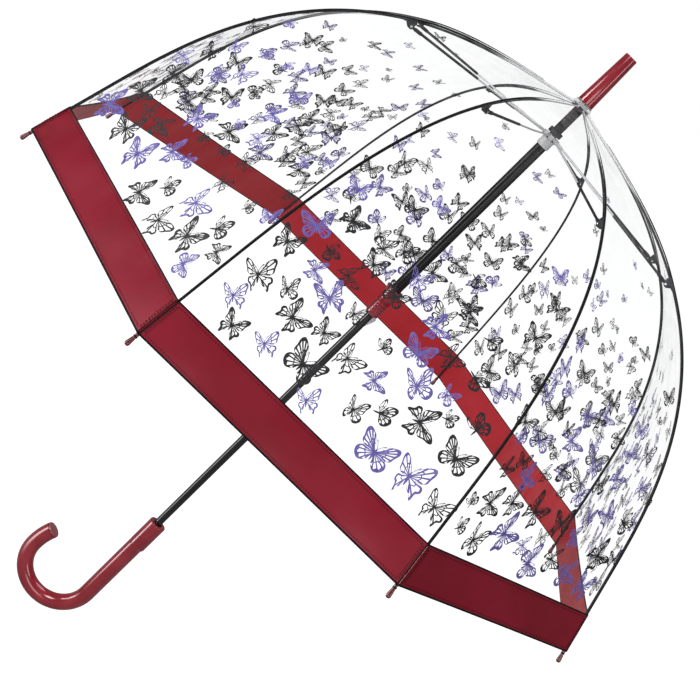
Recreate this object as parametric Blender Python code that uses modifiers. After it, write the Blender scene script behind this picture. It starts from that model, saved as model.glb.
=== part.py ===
"""Clear bubble umbrella, open, standing upright.

The shaft is the Z axis, the ferrule points up and the hooked handle opens towards -X.
The origin is on the shaft's axis in the middle of the handle's straight part.
Eight ribs hang from a slotted crown and are pushed out by eight stretchers from the runner.
Lengths are in metres.
"""
import math

import bmesh
import bpy
from mathutils import Matrix, Vector

# Frame. A drop is a distance below the ferrule's base.
CROWN_Z = 0.754
GAP = 0.0003
RIB_COUNT = 8
FIRST_RIB_DEG = -157.5
STEP_DEG = 360 / RIB_COUNT
HALF_PANEL = math.pi / RIB_COUNT

SHAFT_R = 0.0048
SHAFT_WALL = 0.0006
SHAFT_ABOVE_CROWN = 0.045
SHAFT_IN_HANDLE = 0.055

FERRULE_LENGTH = 0.068
FERRULE_BASE_R = 0.0097
FERRULE_TIP_R = 0.0076
FERRULE_EDGE = 0.0008

# The rib's curve in its own plane: slope below the horizontal against arc length
HINGE_R = 0.0088
HINGE_DROP = 0.0065
START_SLOPE = math.radians(11.5)
END_SLOPE = math.radians(72.5)
BEND_START = 0.036
BEND_LENGTH = 0.50
RIB_LENGTH = 0.621
FLEX_AT = 0.30
CLIP_AT = 0.2068
CLIP_DROP = 0.0055
RIB_R = 0.0013
LOWER_RIB_R = 0.0011
RIB_IN_TIP = 0.0090
FLEX_GAP = 0.0012
EYE_R = 0.0019
EYE_HOLE_R = 0.0009
EYE_WIDTH = 0.0024
WIRE_R = 0.0005
CLIP_LENGTH = 0.0105
CLIP_WIDTH = 0.0024

TIP_LENGTH = 0.0145
TIP_BELOW_HEM = 0.0004
TIP_TOP_R = 0.0019
TIP_END_R = 0.0027

FILM = 0.0002
FILM_OFFSET = 0.0020
FILM_EDGE_GAP = 0.0005
FILM_START = 0.0040
FILM_SPLIT_GAP = 0.0004
UPPER_ROWS = 9
LOWER_ROWS = 8

DISC_R = 0.0105
DISC_BOTTOM = 0.0015
NECK_R = 0.0064
HUB_R = 0.0106
HUB_TOP = 0.0042
HUB_BOTTOM = 0.0092
WIRE_BELOW_SLOT = 0.0005
SLOT_DEPTH = 0.0062
SLOT_REACH = 0.0080
SLOT_CLEARANCE = 0.0010
SLEEVE_R = 0.0056
STOP_R = 0.0085
STOP_TOP = 0.0405
STOP_BOTTOM = 0.0465
BORE_R = 0.0051

RUNNER_R = 0.0090
RUNNER_DROP = 0.0500
RUNNER_TOP = 0.0477
RING_R = 0.0109
RING_BOTTOM = 0.0527
RUNNER_NECK_R = 0.0078
RUNNER_NECK_TOP = 0.0540
RUNNER_BOTTOM = 0.0640
RUNNER_BORE_R = 0.0054
TUBE_R = 0.0065
TUBE_TOP = 0.0583
STRETCHER_R = 0.0013
STRETCHER_EYE_R = 0.0030
STRETCHER_HOLE_R = 0.0011
STRETCHER_SIDE = 0.0032
STRETCHER_BEND = 0.35
GRIP_TOP = 0.2890
GRIP_BOTTOM = 0.3290
RIM_R = 0.0116
WAIST_R = 0.0098
THROAT_R = 0.0090
GRIP_END_R = 0.0085
WINDOW_WIDTH = 0.0034

TOP_CATCH_DROP = 0.3294
BOTTOM_CATCH_DROP = 0.6150
CATCH_NOSE = 0.0045
CATCH_LENGTH = 0.0160
CATCH_LEAF = 0.0300
CATCH_WIDTH = 0.0018
RUNNER_TRAVEL = 0.352

MOUTH_DROP = 0.6900
HANDLE_R = 0.0100
MOUTH_R = 0.0109
MOUTH_SHIFT = 0.0008
MOUTH_LENGTH = 0.0380
MOUTH_FADE = 0.0035
STRAIGHT = 0.1282
HOOK_R = 0.0438
HOOK_END_R = 0.0800
HOOK_END_TURN = math.radians(21)
CAP_THICKNESS = 0.0025

ROUND_STEPS = 24

MATERIALS = {
    "steel": ((0.55, 0.56, 0.58), 0.30, 1.0),
    "black_steel": ((0.02, 0.02, 0.022), 0.30, 0.6),
    "black_plastic": ((0.025, 0.025, 0.028), 0.38, 0.0),
    "red_plastic": ((0.35, 0.012, 0.035), 0.16, 0.0),
    "clear_film": ((0.90, 0.92, 0.94), 0.08, 0.0),
}

part_collection = None
cutter_collection = None


def clear_scene():
    for thing in list(bpy.data.objects):
        bpy.data.objects.remove(thing, do_unlink=True)


def make_collection(name):
    made = bpy.data.collections.new(name)
    bpy.context.scene.collection.children.link(made)
    return made


def make_materials():
    for name, (colour, roughness, metallic) in MATERIALS.items():
        material = bpy.data.materials.new(name)
        material.use_nodes = True
        shader = material.node_tree.nodes["Principled BSDF"]
        shader.inputs["Base Color"].default_value = (*colour, 1)
        shader.inputs["Roughness"].default_value = roughness
        shader.inputs["Metallic"].default_value = metallic
        material.diffuse_color = (*colour, 1)


def smooth(mesh, angle=35):
    mesh.shade_smooth()
    mesh.set_sharp_from_angle(angle=math.radians(angle))


def add_part(name, mesh, material, parent=None, location=(0, 0, 0), turn=0.0):
    """A named piece of the umbrella, made from a finished mesh."""
    thing = bpy.data.objects.new(name, mesh)
    if not mesh.materials:
        mesh.materials.append(bpy.data.materials[material])
    thing.parent = parent
    thing.location = location
    thing.rotation_euler.z = turn
    part_collection.objects.link(thing)
    return thing


def add_empty(name, parent=None, location=(0, 0, 0), turn=0.0):
    """A joint's place: its own X axis points out from the shaft."""
    thing = bpy.data.objects.new(name, None)
    thing.empty_display_size = 0.01
    thing.parent = parent
    thing.location = location
    thing.rotation_euler.z = turn
    part_collection.objects.link(thing)
    return thing


def scratch(mesh):
    """A loose object, used to build a shape or to cut one."""
    thing = bpy.data.objects.new("scratch", mesh)
    thing.hide_render = True
    thing.display_type = "WIRE"
    cutter_collection.objects.link(thing)
    return thing


def finished_mesh(thing, name):
    """The object's shape with its modifiers applied, in the object's parent space."""
    bpy.context.view_layer.update()
    shown = thing.evaluated_get(bpy.context.evaluated_depsgraph_get())
    mesh = bpy.data.meshes.new_from_object(shown)
    mesh.transform(thing.matrix_world)
    mesh.name = name
    work = bmesh.new()
    work.from_mesh(mesh)
    bmesh.ops.remove_doubles(work, verts=work.verts, dist=1e-6)
    work.to_mesh(mesh)
    work.free()
    return mesh


def turned(profile, steps=ROUND_STEPS, closed=True):
    """A turned shape about Z. The profile runs down its outer side, and up a bore if it is closed."""
    mesh = bpy.data.meshes.new("turned")
    count = len(profile)
    edges = [(i, (i + 1) % count) for i in range(count if closed else count - 1)]
    mesh.from_pydata([(radius, 0, z) for radius, z in profile], edges, [])
    thing = scratch(mesh)
    screw = thing.modifiers.new("turn", "SCREW")
    screw.steps = screw.render_steps = steps
    screw.use_merge_vertices = True
    screw.merge_threshold = 0.00002
    return thing


def box(size, centre):
    mesh = bpy.data.meshes.new("box")
    work = bmesh.new()
    bmesh.ops.create_cube(work, size=1, matrix=Matrix.Translation(centre) @ Matrix.Diagonal((*size, 1)))
    work.to_mesh(mesh)
    work.free()
    return scratch(mesh)


def cylinder(radius, depth, centre, axis="Z", steps=ROUND_STEPS):
    turn = Matrix.Rotation(math.radians(-90), 4, "X") if axis == "Y" else Matrix.Identity(4)
    mesh = bpy.data.meshes.new("cylinder")
    work = bmesh.new()
    bmesh.ops.create_cone(
        work,
        cap_ends=True,
        segments=steps,
        radius1=radius,
        radius2=radius,
        depth=depth,
        matrix=Matrix.Translation(centre) @ turn,
    )
    work.to_mesh(mesh)
    work.free()
    return scratch(mesh)


def rod(points, radius, resolution=2):
    """A round bar along a line of points, as a closed mesh."""
    curve = bpy.data.curves.new("rod", "CURVE")
    curve.dimensions = "3D"
    curve.bevel_depth = radius
    curve.bevel_resolution = resolution
    curve.use_fill_caps = True
    spline = curve.splines.new("POLY")
    spline.points.add(len(points) - 1)
    for point, place in zip(spline.points, points):
        point.co = (*place, 1)
    thing = bpy.data.objects.new("scratch", curve)
    cutter_collection.objects.link(thing)
    mesh = finished_mesh(thing, "rod")
    bpy.data.objects.remove(thing, do_unlink=True)
    return scratch(mesh)


def plate(outline, thickness):
    """A flat outline in the XZ plane with a thickness along Y."""
    curve = bpy.data.curves.new("plate", "CURVE")
    curve.dimensions = "2D"
    curve.fill_mode = "BOTH"
    curve.extrude = thickness / 2
    spline = curve.splines.new("POLY")
    spline.points.add(len(outline) - 1)
    spline.use_cyclic_u = True
    for point, (x, z) in zip(spline.points, outline):
        point.co = (x, z, 0, 1)
    thing = bpy.data.objects.new("scratch", curve)
    thing.rotation_euler.x = math.radians(90)
    cutter_collection.objects.link(thing)
    mesh = finished_mesh(thing, "plate")
    bpy.data.objects.remove(thing, do_unlink=True)
    return scratch(mesh)


def combine(base, others, operation):
    for other in others:
        step = base.modifiers.new(operation.lower(), "BOOLEAN")
        step.operation = operation
        step.solver = "EXACT"
        step.object = other
    return base


def shape(base, name, joined=(), cut=()):
    """Joins and cuts the base shape and gives the finished, smoothly shaded mesh."""
    combine(base, joined, "UNION")
    combine(base, cut, "DIFFERENCE")
    mesh = finished_mesh(base, name)
    smooth(mesh)
    return mesh


def slope_at(along):
    share = min(max((along - BEND_START) / BEND_LENGTH, 0), 1)
    return START_SLOPE + (END_SLOPE - START_SLOPE) * share * share * (3 - 2 * share)


def rib_points(first, last, count, offset=0.0, steps_per_metre=2000):
    """Points (radius, height) on the rib's curve, moved out from the dome by the offset."""
    wanted = [first + (last - first) * i / (count - 1) for i in range(count)]
    radius, height, along = HINGE_R, CROWN_Z - HINGE_DROP, 0.0
    found = []
    for goal in wanted:
        steps = max(1, round((goal - along) * steps_per_metre))
        step = (goal - along) / steps
        for i in range(steps):
            middle = slope_at(along + (i + 0.5) * step)
            radius += math.cos(middle) * step
            height -= math.sin(middle) * step
        along = goal
        slope = slope_at(goal)
        found.append((radius + offset * math.sin(slope), height + offset * math.cos(slope)))
    return found


def one_rib_point(along, offset=0.0):
    return rib_points(0, along, 2, offset)[1]


def below(drop):
    return CROWN_Z - drop


def slotted(profile, name, wire_radius, wire_z):
    """A turned ring with a groove for a wire and a slot for each rib or stretcher."""
    cutters = []
    inner = wire_radius - EYE_R - GAP
    for k in range(RIB_COUNT):
        slot = box((SLOT_REACH, EYE_WIDTH + SLOT_CLEARANCE, SLOT_DEPTH), (inner + SLOT_REACH / 2, 0, wire_z))
        slot.rotation_euler.z = math.radians(FIRST_RIB_DEG + STEP_DEG * k)
        cutters.append(slot)
    return shape(turned(profile), name, cut=cutters)


def wire_ring(radius, z, name):
    loop = bpy.data.curves.new("ring", "CURVE")
    loop.dimensions = "3D"
    loop.bevel_depth = WIRE_R
    loop.bevel_resolution = 1
    spline = loop.splines.new("POLY")
    spline.points.add(ROUND_STEPS - 1)
    spline.use_cyclic_u = True
    for i, point in enumerate(spline.points):
        turn = 2 * math.pi * i / ROUND_STEPS
        point.co = (radius * math.cos(turn), radius * math.sin(turn), z, 1)
    thing = bpy.data.objects.new("scratch", loop)
    cutter_collection.objects.link(thing)
    mesh = finished_mesh(thing, name)
    bpy.data.objects.remove(thing, do_unlink=True)
    smooth(mesh)
    return mesh


def catch_slot(drop, turn):
    """The cutter for the opening in the shaft that a spring catch comes out of."""
    size = (SLOT_REACH, CATCH_WIDTH + SLOT_CLEARANCE, CATCH_LENGTH + 4 * SLOT_CLEARANCE)
    slot = box(size, (SHAFT_R - 3 * SHAFT_WALL + SLOT_REACH / 2, 0, below(drop) - CATCH_LENGTH / 2))
    slot.rotation_euler.z = turn
    return slot


def make_shaft():
    inner = SHAFT_R - SHAFT_WALL
    top, bottom = CROWN_Z + SHAFT_ABOVE_CROWN, below(MOUTH_DROP + SHAFT_IN_HANDLE)
    tube = turned([(SHAFT_R, top), (SHAFT_R, bottom), (inner, bottom), (inner, top)])
    slots = [catch_slot(TOP_CATCH_DROP, 0), catch_slot(BOTTOM_CATCH_DROP, math.pi / 2)]
    add_part("shaft", shape(tube, "shaft", cut=slots), "black_steel")


def make_ferrule():
    top, base = CROWN_Z + FERRULE_LENGTH, CROWN_Z
    bore_top = CROWN_Z + SHAFT_ABOVE_CROWN + 0.002
    profile = [
        (0, top),
        (FERRULE_TIP_R - FERRULE_EDGE, top),
        (FERRULE_TIP_R, top - FERRULE_EDGE),
        (FERRULE_BASE_R, base + FERRULE_EDGE),
        (FERRULE_BASE_R - FERRULE_EDGE / 2, base),
        (BORE_R, base),
        (BORE_R, bore_top),
        (0, bore_top),
    ]
    add_part("ferrule", shape(turned(profile, closed=False), "ferrule"), "red_plastic")


def make_crown():
    groove = WIRE_R + GAP
    top, wire_z, bottom = below(HUB_TOP), below(HINGE_DROP), below(HUB_BOTTOM)
    profile = [
        (DISC_R, below(GAP)),
        (DISC_R, below(DISC_BOTTOM)),
        (NECK_R, below(DISC_BOTTOM)),
        (NECK_R, top),
        (HINGE_R - groove, top),
        (HINGE_R - groove, wire_z - groove),
        (HINGE_R + groove, wire_z - groove),
        (HINGE_R + groove, top),
        (HUB_R, top),
        (HUB_R, bottom),
        (SLEEVE_R, bottom),
        (SLEEVE_R, below(STOP_TOP)),
        (STOP_R, below(STOP_TOP)),
        (STOP_R, below(STOP_BOTTOM)),
        (BORE_R, below(STOP_BOTTOM)),
        (BORE_R, below(GAP)),
    ]
    add_part("crown", slotted(profile, "crown", HINGE_R, wire_z - WIRE_BELOW_SLOT), "black_plastic")
    add_part("crown_wire", wire_ring(HINGE_R, wire_z, "crown_wire"), "steel")


def hook_path():
    """The handle's centre line from its mouth, down the grip and round the hook."""
    mouth, turn_z = below(MOUTH_DROP), below(MOUTH_DROP + STRAIGHT)
    path = [(0, 0, mouth - GAP)]
    bends = 14
    for i in range(bends + 1):
        turn = math.pi * i / bends
        path.append((-HOOK_R + HOOK_R * math.cos(turn), 0, turn_z - HOOK_R * math.sin(turn)))
    ends = 4
    for i in range(1, ends + 1):
        turn = HOOK_END_TURN * i / ends
        x = -2 * HOOK_R + HOOK_END_R * (1 - math.cos(turn))
        path.append((x, 0, turn_z + HOOK_END_R * math.sin(turn)))
    return path


def make_handle():
    mouth = below(MOUTH_DROP)
    tube = rod(hook_path(), HANDLE_R, resolution=6)
    step_z = mouth - MOUTH_LENGTH
    fade_z, fade_r = step_z - MOUTH_FADE, HANDLE_R - 0.0012
    sleeve = turned(
        [(0, mouth), (MOUTH_R, mouth), (MOUTH_R, step_z), (fade_r, fade_z), (0, fade_z)], closed=False
    )
    sleeve.location.x = MOUTH_SHIFT
    depth = SHAFT_IN_HANDLE + 0.001
    bore = cylinder(BORE_R, depth + 0.001, (0, 0, mouth - depth / 2 + 0.0005))
    add_part("handle", shape(tube, "handle", [sleeve], [bore]), "red_plastic")
    before, end = (Vector(place) for place in hook_path()[-2:])
    out = (end - before).normalized()
    cap = turned(
        [
            (0, CAP_THICKNESS),
            (HANDLE_R - 0.0016, CAP_THICKNESS),
            (HANDLE_R - 0.0004, CAP_THICKNESS - 0.0010),
            (HANDLE_R - 0.0004, 0),
            (0, 0),
        ],
        closed=False,
    )
    thing = add_part("handle_cap", shape(cap, "handle_cap"), "red_plastic", location=end + out * GAP)
    thing.rotation_euler.y = math.atan2(out.x, out.z)


def make_catch(name, drop, turn):
    """A sprung leaf inside the shaft whose nose comes out of the slot."""
    inside = SHAFT_R - SHAFT_WALL - GAP
    outline = [
        (inside - 0.0008, 0),
        (SHAFT_R + CATCH_NOSE - 0.0006, 0),
        (SHAFT_R + CATCH_NOSE, -0.0008),
        (SHAFT_R + CATCH_NOSE, -0.0024),
        (SHAFT_R, -CATCH_LENGTH + 0.0008),
        (inside, -CATCH_LENGTH - 0.0004),
        (inside, -CATCH_LEAF),
        (inside - 0.0008, -CATCH_LEAF),
    ]
    mesh = shape(plate(outline, CATCH_WIDTH), name)
    add_part(name, mesh, "steel", location=(0, 0, below(drop)), turn=turn)


def make_runner():
    groove = WIRE_R + GAP
    top, wire_z = below(RUNNER_TOP), below(RUNNER_DROP)
    profile = [
        (RUNNER_R - groove, top),
        (RUNNER_R - groove, wire_z - groove),
        (RUNNER_R + groove, wire_z - groove),
        (RUNNER_R + groove, top),
        (RING_R, top),
        (RING_R, below(RING_BOTTOM)),
        (RUNNER_NECK_R, below(RUNNER_NECK_TOP)),
        (RUNNER_NECK_R, below(RUNNER_BOTTOM)),
        (TUBE_R + GAP, below(RUNNER_BOTTOM)),
        (TUBE_R + GAP, below(TUBE_TOP - GAP)),
        (RUNNER_BORE_R, below(TUBE_TOP - GAP)),
        (RUNNER_BORE_R, top),
    ]
    runner = add_empty("runner_slide")
    head = slotted(profile, "runner_head", RUNNER_R, wire_z)
    add_part("runner_head", head, "black_plastic", runner)
    add_part("runner_wire", wire_ring(RUNNER_R, wire_z, "runner_wire"), "steel", runner)
    tube_end = GRIP_BOTTOM - 0.0020
    tube = turned(
        [
            (TUBE_R, below(TUBE_TOP)),
            (TUBE_R, below(tube_end)),
            (RUNNER_BORE_R, below(tube_end)),
            (RUNNER_BORE_R, below(TUBE_TOP)),
        ]
    )
    window_z = below(BOTTOM_CATCH_DROP - RUNNER_TRAVEL) - CATCH_LENGTH / 2
    window = box((WINDOW_WIDTH, TUBE_R, CATCH_LENGTH), (0, TUBE_R, window_z))
    add_part("runner_tube", shape(tube, "runner_tube", cut=[window]), "black_plastic", runner)
    grip = [
        (RIM_R, below(GRIP_TOP)),
        (RIM_R - 0.0002, below(GRIP_TOP + 0.0012)),
        (WAIST_R, below(GRIP_TOP + 0.0042)),
        (THROAT_R, below(GRIP_TOP + 0.0090)),
        (GRIP_END_R, below(GRIP_BOTTOM - 0.0010)),
        (RUNNER_NECK_R, below(GRIP_BOTTOM)),
        (RUNNER_BORE_R, below(GRIP_BOTTOM)),
        (RUNNER_BORE_R, below(tube_end + GAP)),
        (TUBE_R + GAP, below(tube_end + GAP)),
        (TUBE_R + GAP, below(GRIP_TOP + 0.0060)),
        (RIM_R - 0.0012, below(GRIP_TOP)),
    ]
    add_part("runner_grip", shape(turned(grip), "runner_grip"), "red_plastic", runner)
    return runner


def eye(centre, outer, hole, width, steps=10):
    """A flat ring across the rib's plane, as its body and the cutter for its hole."""
    return (
        cylinder(outer, width, centre, axis="Y", steps=steps),
        cylinder(hole, width * 2, centre, axis="Y", steps=steps),
    )


def moved(mesh, radius, height):
    """The mesh with its origin moved to a point in the rib's plane."""
    mesh.transform(Matrix.Translation((-radius, 0, -height)))
    return mesh


def upper_rib_mesh():
    hinge_z = below(HINGE_DROP)
    ring, hole = eye((HINGE_R, 0, hinge_z), EYE_R, EYE_HOLE_R, EYE_WIDTH)
    line = [(r, 0, z) for r, z in rib_points(EYE_R * 0.7, FLEX_AT - FLEX_GAP, 11)]
    slope = slope_at(CLIP_AT)
    radius, height = one_rib_point(CLIP_AT)
    half, low = CLIP_LENGTH / 2, -CLIP_DROP - 0.0020
    outline = []
    for along, out in ((-half, 0), (-half * 0.5, low), (half * 0.5, low), (half, 0)):
        x = radius + along * math.cos(slope) + out * math.sin(slope)
        outline.append((x, height - along * math.sin(slope) + out * math.cos(slope)))
    clip = plate(outline, CLIP_WIDTH)
    mesh = shape(rod(line, RIB_R), "rib_upper", [ring, clip], [hole])
    return moved(mesh, HINGE_R, hinge_z)


def lower_rib_mesh():
    line = [(r, 0, z) for r, z in rib_points(FLEX_AT + FLEX_GAP, RIB_LENGTH + RIB_IN_TIP, 10)]
    return moved(shape(rod(line, LOWER_RIB_R), "rib_lower"), *one_rib_point(FLEX_AT))


def rib_tip_mesh():
    """A small cap over the rib's end: narrow where the hem is tied to it, and round at the end."""
    bore, long, narrow, wide = LOWER_RIB_R + GAP, TIP_LENGTH, TIP_TOP_R, TIP_END_R
    profile = [
        (narrow, 0),
        (narrow, -0.25 * long),
        (wide, -0.82 * long),
        (wide * 0.86, -0.94 * long),
        (wide * 0.45, -long),
        (0, -long),
        (0, -0.78 * long),
        (bore, -0.78 * long),
        (bore, 0),
    ]
    return shape(turned(profile, steps=12), "rib_tip")


def stretcher_mesh(clip):
    """A bar from the runner's wire to the rib's clip, bent to pass beside the rib."""
    start = Vector((RUNNER_R, 0, below(RUNNER_DROP)))
    end = Vector((clip[0], STRETCHER_SIDE, clip[1]))
    line = []
    for share in (0.007, 0.10, 0.20, 0.27, STRETCHER_BEND, 1.0):
        point = start.lerp(end, share)
        bend = min(share / STRETCHER_BEND, 1)
        point.y = STRETCHER_SIDE * bend * bend * (3 - 2 * bend)
        line.append(point)
    ring, hole = eye(start, EYE_R, EYE_HOLE_R, EYE_WIDTH)
    lug, pin_hole = eye(end, STRETCHER_EYE_R, STRETCHER_HOLE_R, EYE_WIDTH)
    mesh = shape(rod(line, STRETCHER_R), "stretcher", [ring, lug], [hole, pin_hole])
    return moved(mesh, start.x, start.z)


def film_mesh(first, last, rows, origin, name):
    """A strip of film between two ribs. It bends one way only, so each row is straight."""
    mesh = bpy.data.meshes.new(name)
    places, faces = [], []
    for radius, height in rib_points(first, last, rows, FILM_OFFSET):
        half = radius * math.sin(HALF_PANEL) - FILM_EDGE_GAP
        out = radius * math.cos(HALF_PANEL)
        places += [(out - origin[0], side * half, height - origin[1]) for side in (-1, 1)]
    for i in range(rows - 1):
        faces.append((2 * i, 2 * i + 2, 2 * i + 3, 2 * i + 1))
    mesh.from_pydata(places, [], faces)
    thing = scratch(mesh)
    skin = thing.modifiers.new("thickness", "SOLIDIFY")
    skin.thickness = FILM
    skin.offset = 0
    mesh = finished_mesh(thing, name)
    smooth(mesh, 60)
    return mesh


def panel_place(along):
    """Where a panel's row crosses the plane through the panel's middle."""
    radius, height = one_rib_point(along, FILM_OFFSET)
    return radius * math.cos(HALF_PANEL), height


def make_ribs(runner):
    hinge_z = below(HINGE_DROP)
    flex = one_rib_point(FLEX_AT)
    clip = one_rib_point(CLIP_AT, -CLIP_DROP)
    upper, lower, tip = upper_rib_mesh(), lower_rib_mesh(), rib_tip_mesh()
    stretcher = stretcher_mesh(clip)
    tip_radius, tip_height = one_rib_point(RIB_LENGTH + TIP_BELOW_HEM)
    tip_place = (tip_radius - flex[0], 0, tip_height - flex[1])
    for k in range(RIB_COUNT):
        number = k + 1
        turn = math.radians(FIRST_RIB_DEG + STEP_DEG * k)
        out = Vector((math.cos(turn), math.sin(turn), 0))
        hinge = add_empty(f"rib_hinge_{number}", location=out * HINGE_R + Vector((0, 0, hinge_z)), turn=turn)
        place = (flex[0] - HINGE_R, 0, flex[1] - hinge_z)
        bend = add_empty(f"rib_flex_{number}", hinge, place)
        add_part(f"rib_upper_{number}", upper, "black_steel", hinge)
        add_part(f"rib_lower_{number}", lower, "black_steel", bend)
        cap = add_part(f"rib_tip_{number}", tip, "red_plastic", bend, tip_place)
        cap.rotation_euler.y = -(math.pi / 2 - END_SLOPE)
        place = out * RUNNER_R + Vector((0, 0, below(RUNNER_DROP)))
        pivot = add_empty(f"stretcher_hinge_{number}", runner, place, turn)
        add_part(f"stretcher_{number}", stretcher, "black_steel", pivot)


def make_panels():
    top, split = panel_place(FILM_START), panel_place(FLEX_AT)
    split_gap = FILM_SPLIT_GAP / 2
    upper = film_mesh(FILM_START, FLEX_AT - split_gap, UPPER_ROWS, top, "panel_upper")
    lower = film_mesh(FLEX_AT + split_gap, RIB_LENGTH, LOWER_ROWS, split, "panel_lower")
    for k in range(RIB_COUNT):
        number = k + 1
        turn = math.radians(FIRST_RIB_DEG + STEP_DEG * (k + 0.5))
        out = Vector((math.cos(turn), math.sin(turn), 0))
        hinge = add_empty(f"panel_hinge_{number}", location=out * top[0] + Vector((0, 0, top[1])), turn=turn)
        fold = add_empty(f"panel_fold_{number}", hinge, (split[0] - top[0], 0, split[1] - top[1]))
        add_part(f"panel_upper_{number}", upper, "clear_film", hinge)
        add_part(f"panel_lower_{number}", lower, "clear_film", fold)


def remove_scratch():
    for thing in list(cutter_collection.objects):
        bpy.data.objects.remove(thing, do_unlink=True)
    bpy.data.collections.remove(cutter_collection)


clear_scene()
part_collection = make_collection("bubble_umbrella")
cutter_collection = make_collection("cutters")
make_materials()
make_shaft()
make_ferrule()
make_crown()
make_handle()
make_catch("top_catch", TOP_CATCH_DROP, 0)
make_catch("bottom_catch", BOTTOM_CATCH_DROP, math.pi / 2)
make_ribs(make_runner())
make_panels()
remove_scratch()
bpy.context.view_layer.update()
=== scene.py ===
"""The looks of the clear bubble umbrella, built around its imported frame.

The shaft is the Z axis, the ferrule points up and the hook opens towards -X. Lengths are in metres.
Ribs, film, hem and seams all follow one curve, which lies in the plane of each rib. "along" is the
distance down that curve from the rib's hinge, and "drop" is a distance below the ferrule's base.
"""
import math
import random

import bmesh
import bpy
import numpy as np
from mathutils import Matrix, Vector


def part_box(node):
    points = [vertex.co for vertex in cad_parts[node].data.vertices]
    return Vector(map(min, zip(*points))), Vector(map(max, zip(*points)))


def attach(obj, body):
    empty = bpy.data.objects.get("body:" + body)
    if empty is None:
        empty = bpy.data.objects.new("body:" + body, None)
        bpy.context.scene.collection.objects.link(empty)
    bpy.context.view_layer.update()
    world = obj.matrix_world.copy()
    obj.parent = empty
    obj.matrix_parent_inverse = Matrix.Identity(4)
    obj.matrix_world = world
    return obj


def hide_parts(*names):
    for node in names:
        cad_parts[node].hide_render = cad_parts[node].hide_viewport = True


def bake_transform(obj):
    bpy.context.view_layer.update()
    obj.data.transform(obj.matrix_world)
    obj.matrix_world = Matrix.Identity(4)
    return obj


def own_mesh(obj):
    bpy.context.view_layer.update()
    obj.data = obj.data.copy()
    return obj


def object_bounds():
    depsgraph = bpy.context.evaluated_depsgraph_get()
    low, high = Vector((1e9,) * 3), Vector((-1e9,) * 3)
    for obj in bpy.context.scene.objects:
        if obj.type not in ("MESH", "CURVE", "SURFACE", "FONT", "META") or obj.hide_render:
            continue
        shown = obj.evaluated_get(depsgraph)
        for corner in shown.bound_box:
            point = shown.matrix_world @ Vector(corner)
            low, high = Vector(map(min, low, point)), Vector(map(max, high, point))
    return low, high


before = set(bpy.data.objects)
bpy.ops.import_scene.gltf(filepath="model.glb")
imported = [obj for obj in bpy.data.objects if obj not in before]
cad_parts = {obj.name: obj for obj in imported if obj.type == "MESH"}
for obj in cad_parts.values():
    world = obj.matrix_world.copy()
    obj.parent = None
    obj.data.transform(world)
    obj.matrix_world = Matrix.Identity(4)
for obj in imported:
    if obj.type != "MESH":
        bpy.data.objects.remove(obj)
cad_low, cad_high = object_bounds()

# Frame
CROWN_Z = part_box("ferrule")[0].z
RIB_COUNT = 8
STEP = 2 * math.pi / RIB_COUNT
FIRST_RIB = math.radians(-157.5)
HALF_GORE = STEP / 2
HINGE_R, HINGE_DROP = 0.0088, 0.0065
START_SLOPE, END_SLOPE = math.radians(11.5), math.radians(72.5)
BEND_START, BEND_LENGTH = 0.036, 0.50
RIB_LENGTH = 0.621
FLEX_AT, FLEX_BLEND = 0.30, 0.06
CLIP_AT, CLIP_DROP = 0.2068, 0.0055
STRETCHER_SIDE, STRETCHER_BEND = 0.0032, 0.35
RIB_BARE_R, RIB_ENAMEL_R = 0.00085, 0.00130
WIRE_R, WIRE_GROOVE = 0.0005, 0.0008
NOTCH, NOTCH_INSET = (0.008, 0.0034, 0.0062), 0.0022

# Shaft, runner and handle
SHAFT_R, SHAFT_HOLE_R, SOCKET_R = 0.0048, 0.0042, 0.0051
RUNNER_R, RUNNER_DROP, RUNNER_TRAVEL = 0.0090, 0.0500, 0.352
RUNNER_BORE_R, TUBE_R, TUBE_SOCKET_R = 0.0054, 0.0065, 0.0068
TOP_CATCH_DROP, BOTTOM_CATCH_DROP, CATCH_LENGTH = 0.3294, 0.6150, 0.016
MOUTH_DROP, STRAIGHT = 0.6900, 0.1282
HANDLE_R = 0.0100
HOOK_R, HOOK_END_R, HOOK_END_TURN = 0.0438, 0.0800, math.radians(21)

# Canopy
FILM_LIFT = 0.0020
FILM_START = 0.0040
SAG, HEM_SAG = 0.0042, 0.0012
HEM_WIDTH = 0.0450
HEM_TOP = RIB_LENGTH - HEM_WIDTH

# Stitches: where a stitch's four points lie along it, and its lift and radius at each
STITCH_PITCH = 0.0031
STITCH_STEPS = np.array([-0.5, -0.3, 0.3, 0.5]) * 0.0021
STITCH_RISE = np.array([0.0006, 0.0009, 0.0009, 0.0006]) + 0.00012
STITCH_RADIUS = [0.00008, 0.00022, 0.00022, 0.00008]

# Camera: angles in degrees, then distance, lens and shift
CAMERA_AZIMUTH, CAMERA_ELEVATION, CAMERA_ROLL = -4.67, 13.4, 45.6
CAMERA_DISTANCE, CAMERA_LENS = 1.642, 74.5
CAMERA_SHIFT = (0.0041, -0.0031)
CAMERA_TARGET, CAMERA_TARGET_SIDE = (0, 0, 0.378), 0.0086


# ---- curves and meshes

def make_curve_table():
    """The rib's curve, worked out from its slope: distance along it, radius and height."""
    along = np.linspace(-0.012, RIB_LENGTH + 0.03, 6000)
    slope = slope_at(along)
    step = along[1] - along[0]
    out = np.concatenate([[0], np.cumsum(np.cos((slope[1:] + slope[:-1]) / 2)) * step])
    down = np.concatenate([[0], np.cumsum(np.sin((slope[1:] + slope[:-1]) / 2)) * step])
    out += HINGE_R - np.interp(0, along, out)
    down -= np.interp(0, along, down)
    return along, out, CROWN_Z - HINGE_DROP - down


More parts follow.
